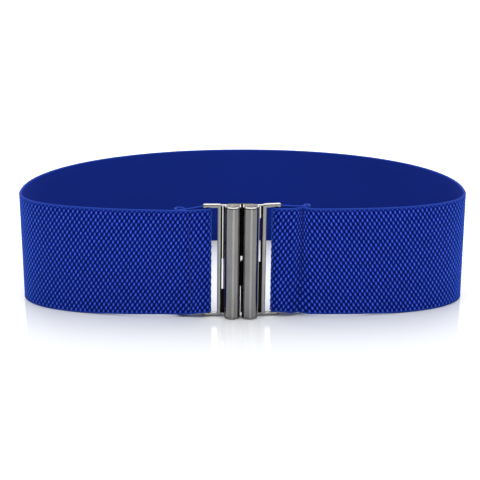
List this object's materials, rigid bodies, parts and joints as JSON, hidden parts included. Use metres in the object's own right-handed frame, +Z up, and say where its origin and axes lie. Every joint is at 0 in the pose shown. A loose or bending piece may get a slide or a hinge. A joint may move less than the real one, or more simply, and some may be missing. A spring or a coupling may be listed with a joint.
{
  "type": "elastic stretch belt",
  "caption": "Wide woven elastic waist belt, closed by a two-piece interlocking metal clasp whose frames hold the band's folded and sewn ends.",
  "frame": {"origin": "bottom centre of the whole belt, on the surface that it stands on", "axes": "+Z up along the band's width, +X along the waist's long way, -Y is the front with the clasp"},
  "size_m": [0.2484, 0.1432, 0.0629],
  "materials": {
    "elastic_fabric": "matt woven elastic, royal blue",
    "gunmetal": "polished gunmetal plating"
  },
  "bodies": {
    "root": {"elastic_band": "elastic_fabric", "buckle_half_left": "gunmetal", "buckle_half_right": "gunmetal"}
  },
  "joints": []
}
